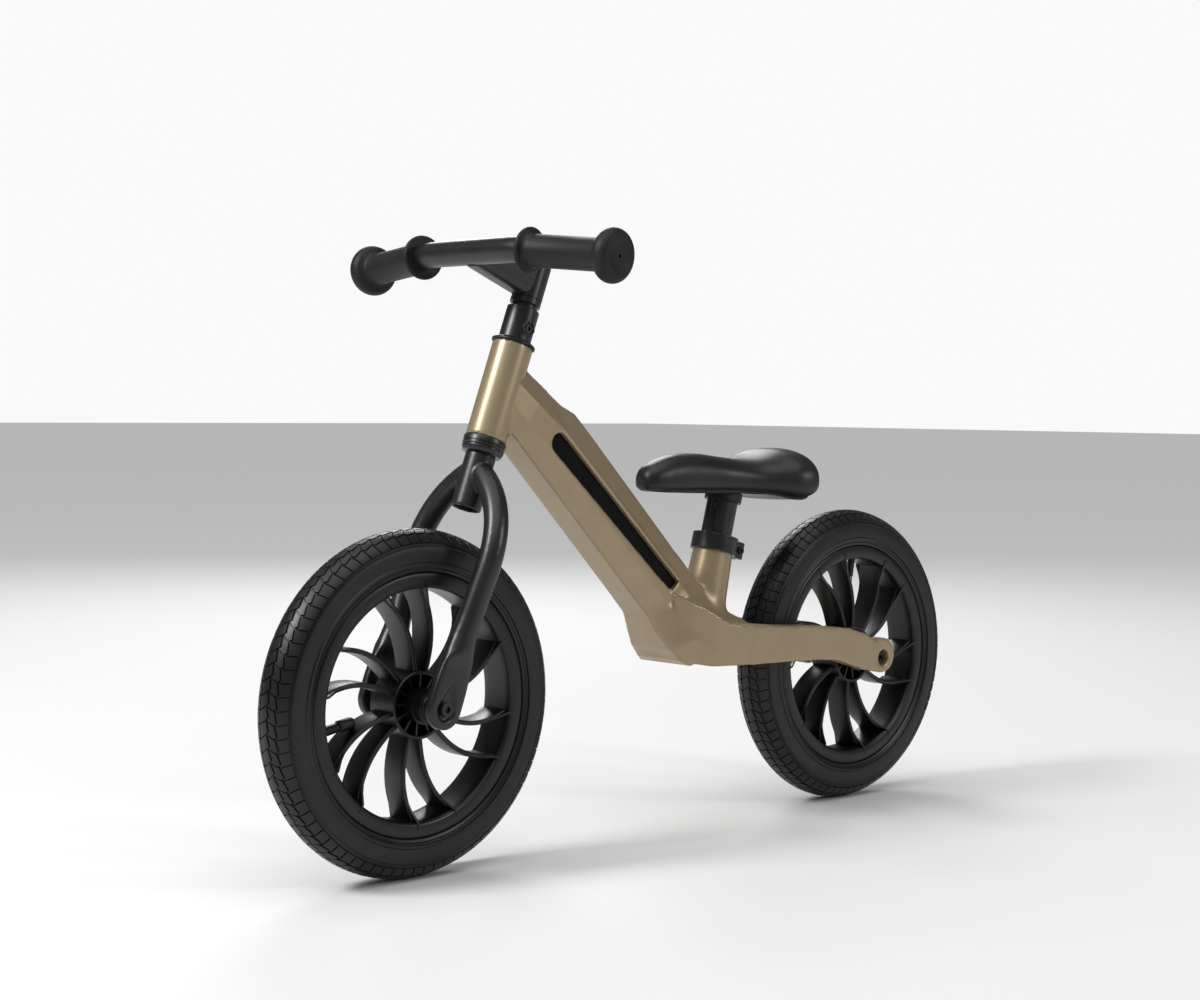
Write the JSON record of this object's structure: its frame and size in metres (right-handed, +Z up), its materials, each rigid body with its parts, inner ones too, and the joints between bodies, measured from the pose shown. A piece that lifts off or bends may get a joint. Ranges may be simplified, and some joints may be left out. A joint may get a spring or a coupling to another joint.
{
  "type": "balance bike",
  "caption": "Child's balance bike: a one-piece cast frame, steered fork, sliding handlebar and saddle, and two air-tyred wheels; the child sits and walks it along.",
  "frame": {"origin": "on the ground, in the middle plane, half way between the axles", "axes": "+X is forward, +Y to the rider's left, +Z up"},
  "size_m": [0.8498, 0.3308, 0.5399],
  "materials": {
    "frame_paint": "satin champagne paint",
    "black_panel": "matte",
    "satin_black": "satin",
    "black_plastic": "matte",
    "wheel_plastic": "satin",
    "tyre_rubber": "matte",
    "tube_rubber": "matte",
    "grip_rubber": "matte",
    "saddle_skin": "satin",
    "steel": "ground",
    "dark_steel": "blackened",
    "valve_metal": "satin"
  },
  "bodies": {
    "frame": {"frame_casting": "frame_paint", "slot_insert_left": "black_panel", "slot_insert_right": "black_panel", "lower_headset_bearing": "steel", "upper_headset_bearing": "steel", "upper_headset_cover": "black_plastic", "lower_headset_cup": "satin_black", "seat_clamp_collar": "satin_black", "seat_clamp_bolt": "dark_steel", "seat_clamp_nut": "dark_steel", "rear_axle": "steel", "rear_axle_spacers": "dark_steel", "rear_axle_bolts": "dark_steel"},
    "fork": {"steerer_tube": "satin_black", "fork_blade_left": "satin_black", "fork_blade_right": "satin_black", "crown_race": "satin_black", "stem_clamp_collar": "satin_black", "stem_clamp_bolt": "dark_steel", "front_axle": "steel", "front_axle_spacers": "dark_steel", "front_axle_bolts": "dark_steel"},
    "handlebar": {"quill_post": "satin_black", "stem_sleeve": "satin_black", "stem_arm": "satin_black", "handlebar_tube": "satin_black", "grip_left": "grip_rubber", "grip_right": "grip_rubber"},
    "saddle": {"seat_post": "satin_black", "saddle_base": "black_plastic", "saddle_pad": "saddle_skin"},
    "front_wheel": {"front_tyre": "tyre_rubber", "front_inner_tube": "tube_rubber", "front_rim": "wheel_plastic", "front_hub": "wheel_plastic", "front_spokes": "wheel_plastic", "front_wheel_bearings": "steel", "front_hub_spacer": "steel", "front_valve_stem": "black_plastic", "front_valve_cap": "black_plastic"},
    "rear_wheel": {"rear_tyre": "tyre_rubber", "rear_inner_tube": "tube_rubber", "rear_rim": "wheel_plastic", "rear_hub": "wheel_plastic", "rear_spokes": "wheel_plastic", "rear_wheel_bearings": "steel", "rear_hub_spacer": "steel", "rear_valve_stem": "valve_metal", "rear_valve_cap": "black_plastic"}
  },
  "joints": [
    {"name": "steering", "type": "hinge", "parent": "frame", "child": "fork", "pos_m": [0.2795, 0, 0.1455], "axis": [-0.3502, 0, 0.9367], "range_deg": [-90, 90]},
    {"name": "handlebar_height", "type": "slide", "parent": "fork", "child": "handlebar", "axis": [-0.3502, 0, 0.9367], "range_m": [0, 0.045]},
    {"name": "saddle_height", "type": "slide", "parent": "frame", "child": "saddle", "axis": [-0.2588, 0, 0.9659], "range_m": [0, 0.0725]},
    {"name": "front_wheel_spin", "type": "hinge", "parent": "fork", "child": "front_wheel", "pos_m": [0.2795, 0, 0.1455], "axis": [0, 1, 0], "continuous": true},
    {"name": "rear_wheel_spin", "type": "hinge", "parent": "frame", "child": "rear_wheel", "pos_m": [-0.2795, 0, 0.1455], "axis": [0, 1, 0], "continuous": true}
  ]
}
